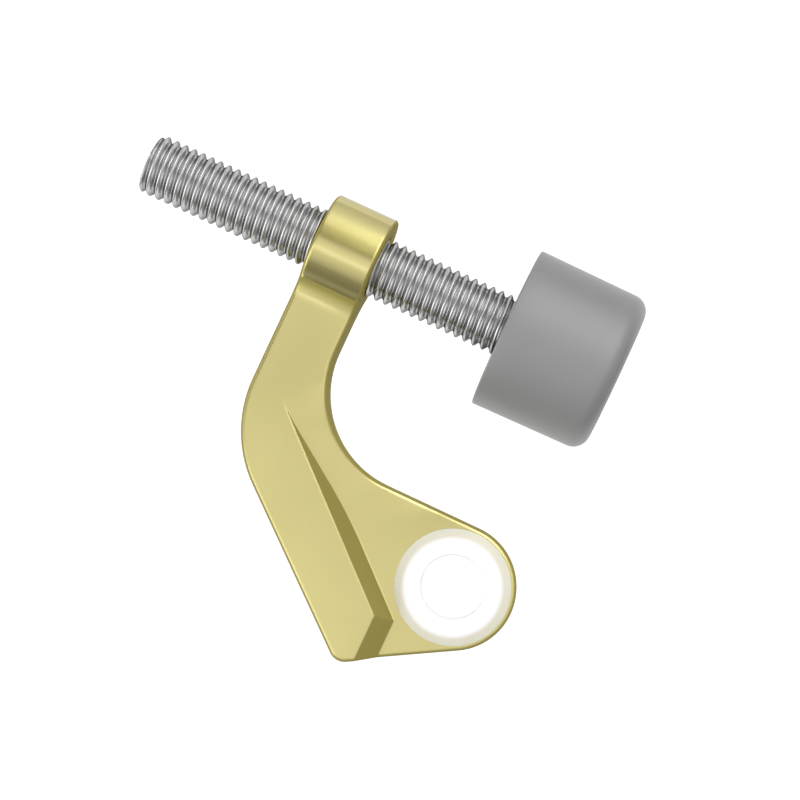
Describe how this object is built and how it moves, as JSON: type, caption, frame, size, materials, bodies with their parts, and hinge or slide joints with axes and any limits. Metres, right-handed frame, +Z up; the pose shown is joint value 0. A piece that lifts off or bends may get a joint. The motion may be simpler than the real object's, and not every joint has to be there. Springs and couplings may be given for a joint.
{
  "type": "hinge pin door stop",
  "caption": "Brass angled arm with a white bushed eye for a door's hinge pin, and a long threaded rod through its barrel that carries a grey rubber bumper.",
  "frame": {"origin": "on the hinge pin's axis, at the underside of the eye", "axes": "+Z up the hinge pin towards its head, +X along the threaded rod towards the bumper, +Y from the hinge pin to the rod"},
  "size_m": [0.0665, 0.0583, 0.0214],
  "materials": {
    "arm_brass": "polished and lacquered",
    "bush_nylon": "white nylon, satin",
    "rod_steel": "bright zinc plate",
    "bumper_rubber": "smooth grey rubber"
  },
  "bodies": {
    "arm": {"stop_arm": "arm_brass", "pin_bush": "bush_nylon"},
    "bumper_body": {"bumper": "bumper_rubber"},
    "rod_body": {"threaded_rod": "rod_steel"}
  },
  "joints": [
    {"name": "rod_travel", "type": "slide", "parent": "arm", "child": "bumper_body", "axis": [1, 0, 0], "range_m": [-0.018, 0.024]},
    {"name": "rod_turn", "type": "hinge", "parent": "bumper_body", "child": "rod_body", "pos_m": [0, 0.0331, 0.003], "axis": [1, 0, 0], "range_deg": [-5184, 6912]}
  ],
  "couplings": [
    {"joint": "rod_travel", "follows": "rod_turn", "m_per_rad": 0.00019894}
  ]
}
